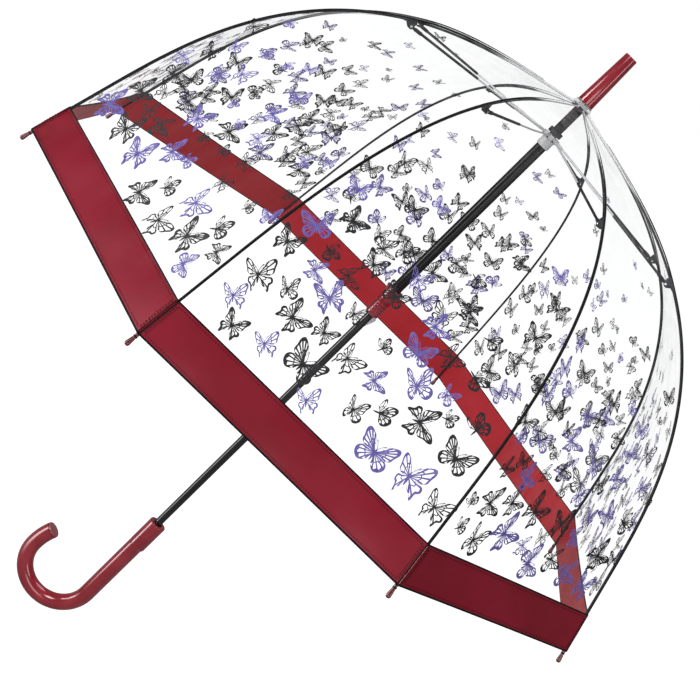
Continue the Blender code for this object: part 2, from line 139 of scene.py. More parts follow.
def slope_at(along):
    share = np.clip((np.asarray(along) - BEND_START) / BEND_LENGTH, 0, 1)
    return START_SLOPE + (END_SLOPE - START_SLOPE) * share * share * (3 - 2 * share)


CURVE = make_curve_table()


def rib_place(along, lift=0.0):
    """Radius and height of points on the rib's curve, moved out from the dome by lift."""
    slope = slope_at(along)
    radius = np.interp(along, CURVE[0], CURVE[1]) + lift * np.sin(slope)
    height = np.interp(along, CURVE[0], CURVE[2]) + lift * np.cos(slope)
    return radius, height


def upright(turn, radius, height, side=0.0):
    """Points in the upright plane at an angle round the shaft, moved sideways from it by side."""
    radius, height, side = np.broadcast_arrays(np.asarray(radius, float), height, side)
    cos, sin = math.cos(turn), math.sin(turn)
    return np.stack([radius * cos - side * sin, radius * sin + side * cos, height], axis=-1)


def rib_turn(k):
    return FIRST_RIB + STEP * k


def gore_turn(k):
    return FIRST_RIB + STEP * (k + 0.5)


def sideways(turn):
    return Vector((-math.sin(turn), math.cos(turn), 0))


def sag_at(along):
    """How far the film's middle hangs inside the straight line between two ribs."""
    share = np.clip(np.asarray(along) / RIB_LENGTH, 0, 1)
    return SAG * np.sin(math.pi * share) + HEM_SAG * share


def gore_half_width(along):
    return rib_place(along, FILM_LIFT)[0] * math.sin(HALF_GORE)


def film_place(k, along, side, lift):
    """Points on the film of one gore, side metres from its middle line."""
    along, side = np.broadcast_arrays(np.asarray(along, float), side)
    radius, height = rib_place(along, FILM_LIFT)
    half = radius * math.sin(HALF_GORE)
    slope = slope_at(along)
    tilt = np.arctan2(np.sin(slope), np.cos(slope) * math.cos(HALF_GORE))
    across = np.clip(side / half, -1.05, 1.05)
    rise = lift - sag_at(along) * (1 - across**2)
    out = radius * math.cos(HALF_GORE) + rise * np.sin(tilt)
    return upright(gore_turn(k), out, height + rise * np.cos(tilt), side)


def grid_faces(rows, columns, wrap):
    """Quads between neighbouring rows of a grid. A wrapped grid joins its last column to its first."""
    i, j = np.meshgrid(np.arange(rows - 1), np.arange(columns if wrap else columns - 1), indexing="ij")
    a = i * columns + j
    b = i * columns + (j + 1) % columns
    return np.stack([a, a + columns, b + columns, b], axis=-1).reshape(-1, 4)


class Shape:
    """Gathers grids, tubes and turned forms into one mesh with a material and an amount of painted light for
    each.
    """

    def __init__(self):
        self.places, self.faces, self.slots, self.painted_lights = [], [], [], []
        self.count = 0

    def add(self, places, faces, slot, tone=0.0):
        places = np.asarray(places, float).reshape(-1, 3)
        self.places.append(places)
        self.faces += (faces + self.count).tolist()
        self.slots += [slot] * len(faces)
        self.painted_lights.append(np.broadcast_to(tone, len(places)))
        self.count += len(places)

    def grid(self, places, slot=0, tone=0.0, wrap=False):
        rows, columns = places.shape[:2]
        if not np.isscalar(tone):
            tone = np.repeat(tone, columns)
        self.add(places, grid_faces(rows, columns, wrap), slot, tone)

    def bar(self, rings, slot=0, tone=0.0):
        """A closed bar through rings of points, with a flat face on each end."""
        start, sides = self.count, rings.shape[1]
        self.grid(rings, slot, tone, wrap=True)
        last = self.count - sides
        self.faces += [[start + i for i in range(sides)], [last + sides - 1 - i for i in range(sides)]]
        self.slots += [slot] * 2

    def tube(self, path, radius, side_axis, sides=12, slot=0, tone=0.0, round_ends=False):
        """A round bar along a path. The radius may change along it."""
        path = np.asarray(path, float)
        radius = np.array(np.broadcast_to(radius, len(path)), float)
        if round_ends:
            path, radius = rounded_ends(path, radius)
        ahead = np.gradient(path, axis=0)
        ahead /= np.linalg.norm(ahead, axis=1)[:, None]
        across = np.asarray(side_axis, float)[None] - (ahead @ np.asarray(side_axis, float))[:, None] * ahead
        across /= np.linalg.norm(across, axis=1)[:, None]
        other = np.cross(ahead, across)
        turn = 2 * math.pi * np.arange(sides) / sides
        ring = across[:, None] * np.cos(turn)[None, :, None] + other[:, None] * np.sin(turn)[None, :, None]
        self.bar(path[:, None] + ring * radius[:, None, None], slot, tone)

    def turned(self, profile, matrix=None, steps=64, slot=0, closed=False):
        """A form turned about Z. The profile runs down its outer side."""
        profile = np.asarray(profile, float)
        if closed:
            profile = np.vstack([profile, profile[:1]])
        turn = 2 * math.pi * np.arange(steps) / steps
        radius, height = profile[:, :1], np.repeat(profile[:, 1:], steps, axis=1)
        places = np.stack([radius * np.cos(turn), radius * np.sin(turn), height], axis=-1)
        if matrix is not None:
            places = places @ np.array(matrix.to_3x3()).T + np.array(matrix.translation)
        self.grid(places, slot, wrap=True)

    def eye(self, turn, place, reach, hole, slot=0):
        """A flat ring at a pivot, across the plane of the rib at that turn."""
        across = Matrix.Rotation(turn, 4, "Z") @ Matrix.Rotation(math.pi / 2, 4, "X")
        ring = [(reach, 0.0012), (reach, -0.0012), (hole, -0.0012), (hole, 0.0012)]
        ring = softened(ring, 0.0003, closed=True)
        self.turned(ring, Matrix.Translation(Vector(place)) @ across, steps=32, slot=slot, closed=True)

    def make(self, name, materials, sharp=40, merge=1e-6):
        mesh = bpy.data.meshes.new(name)
        mesh.from_pydata(np.concatenate(self.places).tolist(), [], self.faces)
        # Each point's share of painted light: painted highlights on wire and the painted lit inner side of
        # the hem.
        tone = mesh.attributes.new("tone", "FLOAT", "POINT")
        tone.data.foreach_set("value", np.concatenate(self.painted_lights).astype(np.float32))
        mesh.polygons.foreach_set("material_index", self.slots)
        for material in materials:
            mesh.materials.append(material)
        work = bmesh.new()
        work.from_mesh(mesh)
        if merge:
            bmesh.ops.remove_doubles(work, verts=work.verts, dist=merge)
            bmesh.ops.dissolve_degenerate(work, edges=work.edges, dist=merge / 10)
        work.to_mesh(mesh)
        work.free()
        mesh.shade_smooth()
        mesh.set_sharp_from_angle(angle=math.radians(sharp))
        return linked(name, mesh)


def linked(name, data):
    """A new object in the scene."""
    thing = bpy.data.objects.new(name, data)
    bpy.context.scene.collection.objects.link(thing)
    return thing


def rounded_ends(path, radius):
    """Adds a half round end to both ends of a bar."""
    turn = np.linspace(0, math.pi / 2 * 0.97, 5)[1:]
    for _ in ("end", "start"):
        out = path[-1] - path[-2]
        out /= np.linalg.norm(out)
        size = radius[-1]
        path = np.vstack([path, path[-1] + out * (np.sin(turn) * size)[:, None]])[::-1]
        radius = np.concatenate([radius, np.cos(turn) * size])[::-1]
    return path, radius


def softened(profile, size, steps=4, closed=False):
    """The profile with its corners rounded, each by a short curve."""
    profile = [np.array(p, float) for p in profile]
    count, found = len(profile), []
    for i, corner in enumerate(profile):
        if not closed and i in (0, count - 1):
            found.append(corner)
            continue
        before, after = profile[i - 1] - corner, profile[(i + 1) % count] - corner
        reach_before = min(size, np.linalg.norm(before) * 0.48)
        reach_after = min(size, np.linalg.norm(after) * 0.48)
        start = corner + before / np.linalg.norm(before) * reach_before
        end = corner + after / np.linalg.norm(after) * reach_after
        for t in np.linspace(0, 1, steps + 1):
            found.append((1 - t) ** 2 * start + 2 * t * (1 - t) * corner + t * t * end)
    return found


def cut_away(thing, cutters):
    """Cuts boxes out of a piece and keeps the result as its mesh."""
    for cutter in cutters:
        step = thing.modifiers.new("cut", "BOOLEAN")
        step.operation = "DIFFERENCE"
        step.solver = "EXACT"
        step.object = cutter
    bpy.context.view_layer.update()
    shown = thing.evaluated_get(bpy.context.evaluated_depsgraph_get())
    mesh = bpy.data.meshes.new_from_object(shown)
    thing.modifiers.clear()
    thing.data = mesh
    mesh.shade_smooth()
    mesh.set_sharp_from_angle(angle=math.radians(40))
    for cutter in cutters:
        bpy.data.objects.remove(cutter, do_unlink=True)


def block(size, centre, turn=0.0):
    """A box for cut_away, turned about the shaft."""
    mesh = bpy.data.meshes.new("block")
    work = bmesh.new()
    place = Matrix.Rotation(turn, 4, "Z") @ Matrix.Translation(centre) @ Matrix.Diagonal((*size, 1))
    bmesh.ops.create_cube(work, size=1, matrix=place)
    work.to_mesh(mesh)
    work.free()
    return linked("block", mesh)


# ---- materials

class Surface:
    """A Principled material whose colour, roughness and bump come from procedural nodes."""

    def __init__(self, name, colour, roughness, metallic=0.0, coat=0.0, specular=0.5):
        self.material = bpy.data.materials.new(name)
        self.material.use_nodes = True
        self.nodes = self.material.node_tree.nodes
        self.links = self.material.node_tree.links
        self.shader = self.nodes["Principled BSDF"]
        self.output = self.nodes["Material Output"]
        settings = {
            "Base Color": (*colour, 1), "Roughness": roughness, "Metallic": metallic,
            "Specular IOR Level": specular, "Coat Weight": coat, "Coat Roughness": 0.09,
        }
        for name, value in settings.items():
            self.shader.inputs[name].default_value = value
        self.place = self.nodes.new("ShaderNodeTexCoord").outputs["Object"]

    def node(self, kind, **sockets):
        """A new node. Each socket, named with _ for a space, gets a value or a link."""
        node = self.nodes.new("ShaderNode" + kind)
        for name, value in sockets.items():
            socket = node.inputs[name.replace("_", " ")]
            if isinstance(value, bpy.types.NodeSocket):
                self.links.new(value, socket)
            else:
                socket.default_value = value
        return node

    def stretched(self, scale):
        return self.node("Mapping", Scale=scale, Vector=self.place).outputs["Vector"]

    def noise(self, scale, detail=4.0, roughness=0.55, vector=None):
        vector = vector or self.place
        texture = self.node("TexNoise", Scale=scale, Detail=detail, Roughness=roughness, Vector=vector)
        return texture.outputs["Fac"]

    def ramp(self, source, *stops):
        ramp = self.node("ValToRGB", Fac=source)
        elements = ramp.color_ramp.elements
        while len(elements) < len(stops):
            elements.new(0.5)
        for element, (position, colour) in zip(elements, stops):
            element.position = position
            element.color = (*colour, 1)
        return ramp.outputs["Color"]

    def span(self, source, low, high, start=0.0, end=1.0):
        mapped = self.node("MapRange", Value=source, From_Min=start, From_Max=end, To_Min=low, To_Max=high)
        return mapped.outputs["Result"]

    def math(self, operation, first, second):
        node = self.node("Math")
        node.operation = operation
        for socket, value in zip(node.inputs, (first, second)):
            if isinstance(value, (int, float)):
                socket.default_value = value
            else:
                self.links.new(value, socket)
        return node.outputs["Value"]

    def tone(self):
        node = self.node("Attribute")
        node.attribute_name = "tone"
        return node.outputs["Fac"]

    def by_painted_light(self, plain, with_painted_light):
        """The plain colour where the mesh's painted-light value is 0 and the colour with painted light where
        it is 1.
        """
        mix = self.node("Mix")
        mix.data_type = "RGBA"
        for name, source in (("Factor", self.tone()), ("A", plain), ("B", with_painted_light)):
            self.links.new(source, mix.inputs[name])
        return mix.outputs["Result"]

    def finish(self, colour, roughness, height, distance, strength=1.0):
        """Links the colour, the roughness and a bump, and gives the material."""
        bump = self.node("Bump", Distance=distance, Strength=strength, Height=height)
        normal = bump.outputs["Normal"]
        for name, source in (("Base Color", colour), ("Roughness", roughness), ("Normal", normal)):
            self.links.new(source, self.shader.inputs[name])
        return self.material


def mixed(colour, other, share):
    return tuple(c + (o - c) * share for c, o in zip(colour, other))


def gloss_red(name, colour):
    """Lacquered red plastic: an even colour with a faint cloud, and a little orange peel."""
    surface = Surface(name, colour, 0.12, coat=1.0, specular=0.4)
    dark, light = mixed(colour, (0, 0, 0), 0.22), mixed(colour, (1, 0.35, 0.4), 0.045)
    cloud = surface.ramp(surface.noise(38), (0.3, dark), (0.7, light))
    dullness = surface.span(surface.noise(45, 3), 0.15, 0.21)
    return surface.finish(cloud, dullness, surface.noise(90, 2), 0.000003)


def black_enamel(name, colour, specular):
    """Black paint on a tube, with fine scratches along it."""
    surface = Surface(name, colour, 0.16, specular=specular)
    cloud = surface.ramp(surface.noise(60), (0.3, colour), (0.75, mixed(colour, (1, 1, 1), 0.006)))
    scratches = surface.noise(90, 8, 0.6, surface.stretched((9, 9, 0.5)))
    return surface.finish(cloud, surface.span(scratches, 0.10, 0.20), scratches, 0.000002)


def moulded(name, colour, roughness=(0.34, 0.5)):
    """Unpainted plastic with a dull grain."""
    surface = Surface(name, colour, 0.4, specular=0.12)
    cloud = surface.ramp(surface.noise(80), (0.3, colour), (0.8, mixed(colour, (1, 1, 1), 0.008)))
    dullness = surface.span(surface.noise(300, 6), *roughness)
    return surface.finish(cloud, dullness, surface.noise(1500, 3), 0.00003)


def steel_with_painted_highlight(name):
    """Wire that is pale grey where its painted-light value is 1 and black enamel where it is 0. The pale grey
    is a painted highlight, for reflections that wash the black wire out.
    """
    surface = Surface(name, (0.5, 0.5, 0.5), 0.3, specular=0.25)
    grain = surface.noise(140, 6, 0.6)
    # Painted highlight: the pale grey colour of the wire.
    bright = surface.ramp(grain, (0.2, (0.66, 0.67, 0.68)), (0.8, (0.82, 0.82, 0.83)))
    black = surface.ramp(grain, (0.2, (0.0025, 0.0025, 0.003)), (0.8, (0.006, 0.006, 0.007)))
    metal = surface.math("MULTIPLY", surface.tone(), 0.2)
    surface.links.new(metal, surface.shader.inputs["Metallic"])
    return surface.finish(surface.by_painted_light(black, bright), surface.span(grain, 0.26, 0.42), grain, 0.00001)


def steel(name):
    surface = Surface(name, (0.62, 0.63, 0.65), 0.3, metallic=1.0)
    grain = surface.noise(160, 6, 0.6, surface.stretched((1, 1, 8)))
    brushed = surface.ramp(grain, (0.25, (0.42, 0.43, 0.45)), (0.75, (0.74, 0.75, 0.77)))
    return surface.finish(brushed, surface.span(grain, 0.2, 0.38), grain, 0.00001)


def hem_vinyl(name):
    """Soft red vinyl with a fine grain and a slow change of shade. Its inner side has painted light: a lit,
    paler copy of the red where its painted-light value is 1.
    """
    surface = Surface(name, (0.30, 0.006, 0.02), 0.3, coat=0.05, specular=0.22)
    cloud = surface.noise(9, 3)
    outer = surface.ramp(cloud, (0.30, (0.205, 0.004, 0.014)), (0.72, (0.290, 0.008, 0.026)))
    # Painted light: the lit copy of the red for the band's inner side.
    inner = surface.ramp(cloud, (0.30, (0.52, 0.016, 0.026)), (0.72, (0.64, 0.030, 0.042)))
    sheen = surface.span(surface.noise(60, 5), 0.30, 0.44)
    grain = surface.math("ADD", surface.noise(1300, 2), surface.math("MULTIPLY", surface.noise(45, 3), 4.0))
    return surface.finish(surface.by_painted_light(outer, inner), sheen, grain, 0.00006)


def woven_black(name):
    surface = Surface(name, (0.012, 0.012, 0.013), 0.6, specular=0.15)
    weave = surface.node("TexWave", Scale=520, Distortion=1.2, Vector=surface.place).outputs["Fac"]
    colour = surface.ramp(weave, (0.1, (0.002, 0.002, 0.0025)), (0.9, (0.008, 0.008, 0.009)))
    return surface.finish(colour, surface.span(surface.noise(400), 0.45, 0.7), weave, 0.00002)


def ink(name, colour, fade):
    """Screen-printed ink, thin and a little uneven."""
    surface = Surface(name, colour, 0.4)
    cloud = surface.ramp(surface.noise(230, 5), (0.35, colour), (0.8, mixed(colour, (1, 1, 1), fade)))
    return surface.finish(cloud, surface.span(surface.noise(500), 0.3, 0.5), surface.noise(900), 0.00001)


def clear_film(name, haze_and_glow, edge, tint):
    """Clear vinyl: it lets light through, and is hazier where it is seen at a flat angle. Its haze is partly
    real and partly a faint white glow, a painted light.
    """
    surface = Surface(name, (0.86, 0.88, 0.90), 0.12, specular=0.5)
    # Painted light: a faint white glow in the haze, though no lamp lights it.
    surface.shader.inputs["Emission Color"].default_value = (1, 1, 1, 1)
    surface.shader.inputs["Emission Strength"].default_value = 0.16
    ripple = surface.noise(26, 3, 0.5, surface.stretched((1, 1, 0.35)))
    colour = surface.ramp(ripple, (0.3, (0.80, 0.82, 0.85)), (0.75, (0.93, 0.94, 0.95)))
    height = surface.math("ADD", ripple, surface.noise(150, 2))
    surface.finish(colour, surface.span(ripple, 0.07, 0.17), height, 0.0004, 0.6)
    clear = surface.node("BsdfTransparent", Color=(*tint, 1))
    facing = surface.node("LayerWeight", Blend=0.30).outputs["Facing"]
    streaks = surface.span(surface.noise(70, 4, 0.6, surface.stretched((1, 1, 0.10))), 0.0, 2.4, 0.3, 0.7)
    flat = surface.math("MULTIPLY", surface.math("POWER", facing, 2.6), streaks)
    even = surface.span(ripple, haze_and_glow * 0.6, haze_and_glow * 1.5)
    mix = surface.node("MixShader", Fac=surface.math("ADD", surface.math("MULTIPLY", flat, edge), even))
    surface.links.new(clear.outputs["BSDF"], mix.inputs[1])
    surface.links.new(surface.shader.outputs["BSDF"], mix.inputs[2])
    surface.links.new(mix.outputs["Shader"], surface.output.inputs["Surface"])
    return surface.material


RED = gloss_red("red_lacquer", (0.34, 0.007, 0.019))
RED_TIP = gloss_red("red_tip", (0.16, 0.005, 0.012))
# Painted highlight: a paler red for the gloss at the hook's end.
RED_PAINTED_HIGHLIGHT = gloss_red("red_cap", (0.36, 0.07, 0.085))
ENAMEL = black_enamel("shaft_enamel", (0.005, 0.005, 0.0055), 0.6)
TUBE_BLACK = black_enamel("runner_enamel", (0.007, 0.006, 0.007), 0.22)
PLASTIC = moulded("moulded_black", (0.010, 0.009, 0.010))
CLIP_GREY = moulded("clip_plastic", (0.030, 0.031, 0.033))
# Painted highlight: the black runner head is coloured pale grey for the reflection that washes it out.
PAINTED_HIGHLIGHT_HEAD = moulded("painted_highlight_plastic", (0.62, 0.62, 0.63), (0.28, 0.4))
WIRE = steel_with_painted_highlight("rib_wire")
STEEL = steel("bright_steel")
VINYL = hem_vinyl("hem_vinyl")
BINDING = woven_black("binding")
THREAD = woven_black("thread")
INK_BLACK = ink("ink_black", (0.010, 0.010, 0.014), 0.02)
INK_VIOLET = ink("ink_violet", (0.135, 0.100, 0.43), 0.12)
FILM = clear_film("clear_film", 0.006, 0.30, (0.991, 0.992, 0.994))
# The gathered film's heavy haze is partly real whitish film and partly a painted white glow.
GATHER = clear_film("gathered_film", 0.42, 0.4, (0.96, 0.95, 0.955))


# ---- shaft, ferrule, crown, runner, handle

def below(drop):
    return CROWN_Z - drop


def place_piece(thing, body, slot, *nodes):
    """Puts a piece on a body and in place of the frame's nodes. The slot it is given is not used."""
    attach(thing, body)
    if nodes:
        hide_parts(*nodes)


def turned_piece(name, profile, size, material, corner_steps=4, steps=64, closed=True):
    """A turned form of one material with its profile's corners rounded."""
    shape = Shape()
    shape.turned(softened(profile, size, corner_steps, closed), steps=steps, closed=closed)
    return shape.make(name, [material])


def make_shaft():
    top, bottom = CROWN_Z + 0.045, below(MOUTH_DROP + 0.055)
    ring = [(SHAFT_R, top), (SHAFT_R, bottom), (SHAFT_HOLE_R, bottom), (SHAFT_HOLE_R, top)]
    shaft = turned_piece("shaft_tube", ring, 0.0002, ENAMEL)
    slots = []
    for drop, turn in ((TOP_CATCH_DROP, 0.0), (BOTTOM_CATCH_DROP, math.pi / 2)):
        slots.append(block((0.008, 0.0028, 0.020), (0.0066, 0, below(drop) - CATCH_LENGTH / 2), turn))
    cut_away(shaft, slots)
    place_piece(shaft, "root", "black_steel", "shaft")


def make_ferrule():
    top, socket_top = CROWN_Z + 0.068, CROWN_Z + 0.068 - 0.021
    profile = [
        (0, top), (0.0076, top), (0.0097, CROWN_Z), (SOCKET_R, CROWN_Z), (SOCKET_R, socket_top),
        (0, socket_top),
    ]
    ferrule = turned_piece("ferrule_cap", profile, 0.0009, RED, closed=False)
    place_piece(ferrule, "root", "red_plastic", "ferrule")


def groove(radius, top, wire_z):
    """The part of a ring's profile that the wire lies in."""
    low, inner, outer = wire_z - WIRE_GROOVE, radius - WIRE_GROOVE, radius + WIRE_GROOVE
    return [(inner, top), (inner, low), (outer, low), (outer, top)]


def notched(profile, name, notch_r, notch_z, material):
    """A turned ring with a notch for each rib or stretcher."""
    ring = turned_piece(name, profile, 0.0003, material, 3, 96)
    middle = (notch_r - NOTCH_INSET + NOTCH[0] / 2, 0, notch_z)
    cut_away(ring, [block(NOTCH, middle, rib_turn(k)) for k in range(RIB_COUNT)])
    return ring


def make_crown():
    wire_z, top, neck_top, neck_end = below(HINGE_DROP), below(0.0042), below(0.0092), below(0.0405)
    disc_r, groove_end_r, neck_r, foot_r = 0.0105, 0.0106, 0.0056, 0.0085
    profile = [
        (disc_r, below(0.0003)), (disc_r, below(0.0015)), (0.0064, below(0.0015)), (0.0064, top),
        *groove(HINGE_R, top, wire_z),
        (groove_end_r, top), (groove_end_r, neck_top), (neck_r, neck_top), (neck_r, neck_end),
        (foot_r, neck_end), (foot_r, below(0.0465)), (SOCKET_R, below(0.0465)), (SOCKET_R, below(0.0003)),
    ]
    crown = notched(profile, "crown_hub", HINGE_R, wire_z - 0.0005, PLASTIC)
    place_piece(crown, "root", "black_plastic", "crown")
    finish_wire("crown_wire_loop", HINGE_R, wire_z, "root", "crown_wire")


def finish_wire(name, radius, height, body, node):
    """The wire loop that the eyes of the ribs or stretchers turn on."""
    turn = np.linspace(0, 2 * math.pi, 65)[:-1, None]
    section = 2 * math.pi * np.arange(10) / 10
    reach = radius + WIRE_R * np.cos(section)[None]
    rise = height + WIRE_R * np.sin(section)[None] + 0 * turn
    places = np.stack([reach * np.cos(turn), reach * np.sin(turn), rise], axis=-1)
    shape = Shape()
    shape.grid(np.concatenate([places, places[:1]]), wrap=True)
    place_piece(shape.make(name, [STEEL]), body, "steel", node)


def make_runner():
    wire_z, top, shoulder, bottom = below(RUNNER_DROP), below(0.0477), below(0.0540), below(0.0640)
    ring_r, neck_r, socket_top = 0.0109, 0.0078, below(0.0580)
    profile = [
        *groove(RUNNER_R, top, wire_z),
        (ring_r, top), (ring_r, below(0.0527)), (neck_r, shoulder), (neck_r, bottom), (TUBE_SOCKET_R, bottom),
        (TUBE_SOCKET_R, socket_top), (RUNNER_BORE_R, socket_top), (RUNNER_BORE_R, top),
    ]
    # The head is black plastic, shown pale grey as a painted highlight.
    head = notched(profile, "runner_hub", RUNNER_R, wire_z, PAINTED_HIGHLIGHT_HEAD)
    place_piece(head, "runner", "black_plastic", "runner_head")
    finish_wire("runner_wire_loop", RUNNER_R, wire_z, "runner", "runner_wire")

    top, end = below(0.0583), below(0.3270)
    ring = [(TUBE_R, top), (TUBE_R, end), (RUNNER_BORE_R, end), (RUNNER_BORE_R, top)]
    sleeve = turned_piece("runner_sleeve", ring, 0.0002, TUBE_BLACK)
    window_z = below(BOTTOM_CATCH_DROP - RUNNER_TRAVEL) - CATCH_LENGTH / 2
    cut_away(sleeve, [block((0.0038, 0.006, CATCH_LENGTH + 0.001), (0, TUBE_R, window_z))])
    place_piece(sleeve, "runner", "black_plastic", "runner_tube")

    rim_z, bottom, socket_end = below(0.2890), below(0.3290), below(0.3273)
    grip = [
        (0.0116, rim_z), (0.0115, below(0.2903)), (0.0100, below(0.2932)), (0.0091, below(0.2980)),
        (0.0086, below(0.3050)), (0.0085, below(0.3275)), (0.0078, bottom), (RUNNER_BORE_R, bottom),
        (RUNNER_BORE_R, socket_end), (TUBE_SOCKET_R, socket_end), (TUBE_SOCKET_R, below(0.2950)),
        (0.0104, rim_z),
    ]
    shape = Shape()
    shape.turned(softened(grip, 0.0012, 5, closed=True), closed=True)
    for drop in (0.3100, 0.3140, 0.3180, 0.3220):
        high, middle, low = below(drop), below(drop + 0.0008), below(drop + 0.0016)
        ridge = [(0.0080, high), (0.00865, high), (0.0090, middle), (0.00865, low), (0.0080, low)]
        shape.turned(softened(ridge, 0.0006))
    place_piece(shape.make("runner_grip_cup", [RED]), "runner", "red_plastic", "runner_grip")


def hook_path():
    """The handle's middle line: straight, round the hook and out along its wider end."""
    mouth, turn_z = below(MOUTH_DROP + 0.0003), below(MOUTH_DROP + STRAIGHT)
    path = [(0, 0, z) for z in np.linspace(mouth, turn_z, 30)[:-1]]
    for turn in np.linspace(0, math.pi, 60):
        path.append((-HOOK_R + HOOK_R * math.cos(turn), 0, turn_z - HOOK_R * math.sin(turn)))
    for turn in np.linspace(0, HOOK_END_TURN, 14)[1:]:
        out = -2 * HOOK_R + HOOK_END_R * (1 - math.cos(turn))
        path.append((out, 0, turn_z + HOOK_END_R * math.sin(turn)))
    return np.array(path)


def make_handle():
    mouth, mouth_r, step_z, shift = below(MOUTH_DROP), 0.0109, below(MOUTH_DROP) - 0.038, (0.0008, 0, 0)
    path = hook_path()
    shape = Shape()
    shape.tube(path[1:], HANDLE_R, (0, 1, 0), sides=48)
    sleeve = [
        (0.0052, mouth - 0.004), (0.0052, mouth), (mouth_r, mouth), (mouth_r, step_z),
        (0.0088, step_z - 0.0035),
    ]
    shape.turned(softened(sleeve, 0.0012, 6), Matrix.Translation(shift))
    place_piece(shape.make("handle_hook", [RED]), "root", "red_plastic", "handle")

    # The end cap's paler red is a painted highlight.
    end, out = Vector(path[-1]), Vector(path[-1] - path[-2]).normalized()
    cap = Shape()
    cap.turned(
        softened([(0, 0.0025), (0.0092, 0.0025), (0.0098, 0.0014), (0.0098, 0.0004), (0, 0.0004)], 0.0010, 5),
        Matrix.Translation(end) @ out.to_track_quat("Z", "Y").to_matrix().to_4x4(),
    )
    place_piece(cap.make("hook_end_cap", [RED_PAINTED_HIGHLIGHT]), "root", "red_plastic", "handle_cap")


def finish_catches():
    """The catches are shown as the frame has them, in bright steel."""
    for name in ("top_catch", "bottom_catch"):
        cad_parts[name].data.materials.clear()
        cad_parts[name].data.materials.append(STEEL)


# ---- ribs and stretchers

def bend_with_rib(thing, k):
    """Bakes a piece's placement into its mesh. The rib's points either side of the flex point are worked out
    but not used.
    """
    start, end = (upright(rib_turn(k), *rib_place(FLEX_AT + side * FLEX_BLEND)) for side in (-1, 1))
    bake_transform(thing)


def make_rib(k):
    """One springy bar: thin wire at the crown with a painted highlight on it, then black enamel to its end.
    """
    turn, number = rib_turn(k), k + 1
    along = np.concatenate([np.linspace(0.0015, 0.30, 70), np.linspace(0.304, RIB_LENGTH + 0.009, 60)])
    thick = np.clip((along - 0.085) / 0.03, 0, 1)
    radius = RIB_BARE_R + (RIB_ENAMEL_R - RIB_BARE_R) * thick
    thinner = RIB_ENAMEL_R - 0.0002 * np.clip((along - CLIP_AT) / 0.05, 0, 1)
    radius = np.where(along > CLIP_AT, thinner, radius)
    # Painted highlight: pale near the crown, fading to black further out.
    tone = 1 - np.clip((along - 0.090) / 0.022, 0, 1)
    shape = Shape()
    shape.tube(upright(turn, *rib_place(along)), radius, sideways(turn), tone=tone)
    rib = shape.make(f"rib_{number}", [WIRE])
    bend_with_rib(rib, k)
    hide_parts(f"rib_upper_{number}", f"rib_lower_{number}")

    eye = Shape()
    eye.eye(turn, upright(turn, HINGE_R, below(HINGE_DROP)), 0.0019, 0.0007)
    place_piece(eye.make(f"rib_eye_{number}", [STEEL]), f"rib_upper_{number}", "black_steel")


def make_clip(k):
    """The folded clip under the rib, with the rivet that the stretcher turns on."""
    turn, number = rib_turn(k), k + 1
    slope = float(slope_at(CLIP_AT))
    radius, height = (float(v) for v in rib_place(CLIP_AT))
    cos, sin = math.cos(slope), math.sin(slope)
    outline = [
        (-0.0062, 0.0016), (-0.0056, -0.0030), (-0.0026, -0.0078), (0.0026, -0.0078), (0.0050, -0.0030),
        (0.0080, 0.0016),
    ]
    outline = np.array(softened(outline, 0.0012, closed=True))
    rows = []
    for side, inset in ((-0.0017, 0.0005), (-0.0014, 0), (0.0014, 0), (0.0017, 0.0005)):
        ahead = outline[:, 0] * (1 - inset / 0.007)
        out = (outline[:, 1] + 0.003) * (1 - inset / 0.005) - 0.003
        rows.append(upright(turn, radius + ahead * cos + out * sin, height - ahead * sin + out * cos, side))
    shape = Shape()
    shape.bar(np.array(rows))
    pin_r, pin_z = rib_place(CLIP_AT, -CLIP_DROP)
    pin = upright(turn, pin_r, pin_z, np.array([-0.0024, -0.0021, 0.0046, 0.0050]))
    shape.tube(pin, [0.0009, 0.0013, 0.0013, 0.0009], (0, 0, 1), sides=16, slot=1)
    band = upright(turn, *rib_place(np.linspace(CLIP_AT - 0.0052, CLIP_AT + 0.0075, 8)))
    shape.tube(band, 0.0019, sideways(turn), sides=16, round_ends=True)
    place_piece(shape.make(f"clip_{number}", [CLIP_GREY, STEEL]), f"rib_upper_{number}", "black_plastic")


def make_stretcher(k):
    """Wire with a painted highlight near the runner, a black sheath over its outer part and a thick end
    sleeve.
    """
    turn, number = rib_turn(k), k + 1
    start_z = below(RUNNER_DROP)
    end_r, end_z = rib_place(CLIP_AT, -CLIP_DROP)
    share = np.concatenate([np.linspace(0.008, 0.52, 36), np.linspace(0.525, 1, 36)])
    bend = np.clip(share / STRETCHER_BEND, 0, 1)
    side = STRETCHER_SIDE * bend * bend * (3 - 2 * bend)
    path = upright(turn, RUNNER_R + (end_r - RUNNER_R) * share, start_z + (end_z - start_z) * share, side)
    sheath, outer, inner = (share > 0.52) & (share < 0.99), (share > 0.93) & (share < 0.985), share < 0.055
    shape = Shape()
    # Painted highlight: the inner half of the wire and its thicker piece at the runner are pale.
    shape.tube(path, 0.00105, sideways(turn), tone=np.where(share < 0.55, 0.92, 0.0))
    shape.tube(path[sheath], 0.00145, sideways(turn), round_ends=True)
    shape.tube(path[outer], 0.0020, sideways(turn), sides=16, slot=1, round_ends=True)
    shape.tube(path[inner], 0.0014, sideways(turn), tone=0.8)
    shape.eye(turn, upright(turn, RUNNER_R, start_z), 0.0019, 0.0008, slot=2)
    shape.eye(turn, upright(turn, end_r, end_z, STRETCHER_SIDE), 0.0029, 0.0014, slot=1)
    stretcher = shape.make(f"stretcher_bar_{number}", [WIRE, PLASTIC, STEEL])
    place_piece(stretcher, f"stretcher_{number}", "black_steel", f"stretcher_{number}")


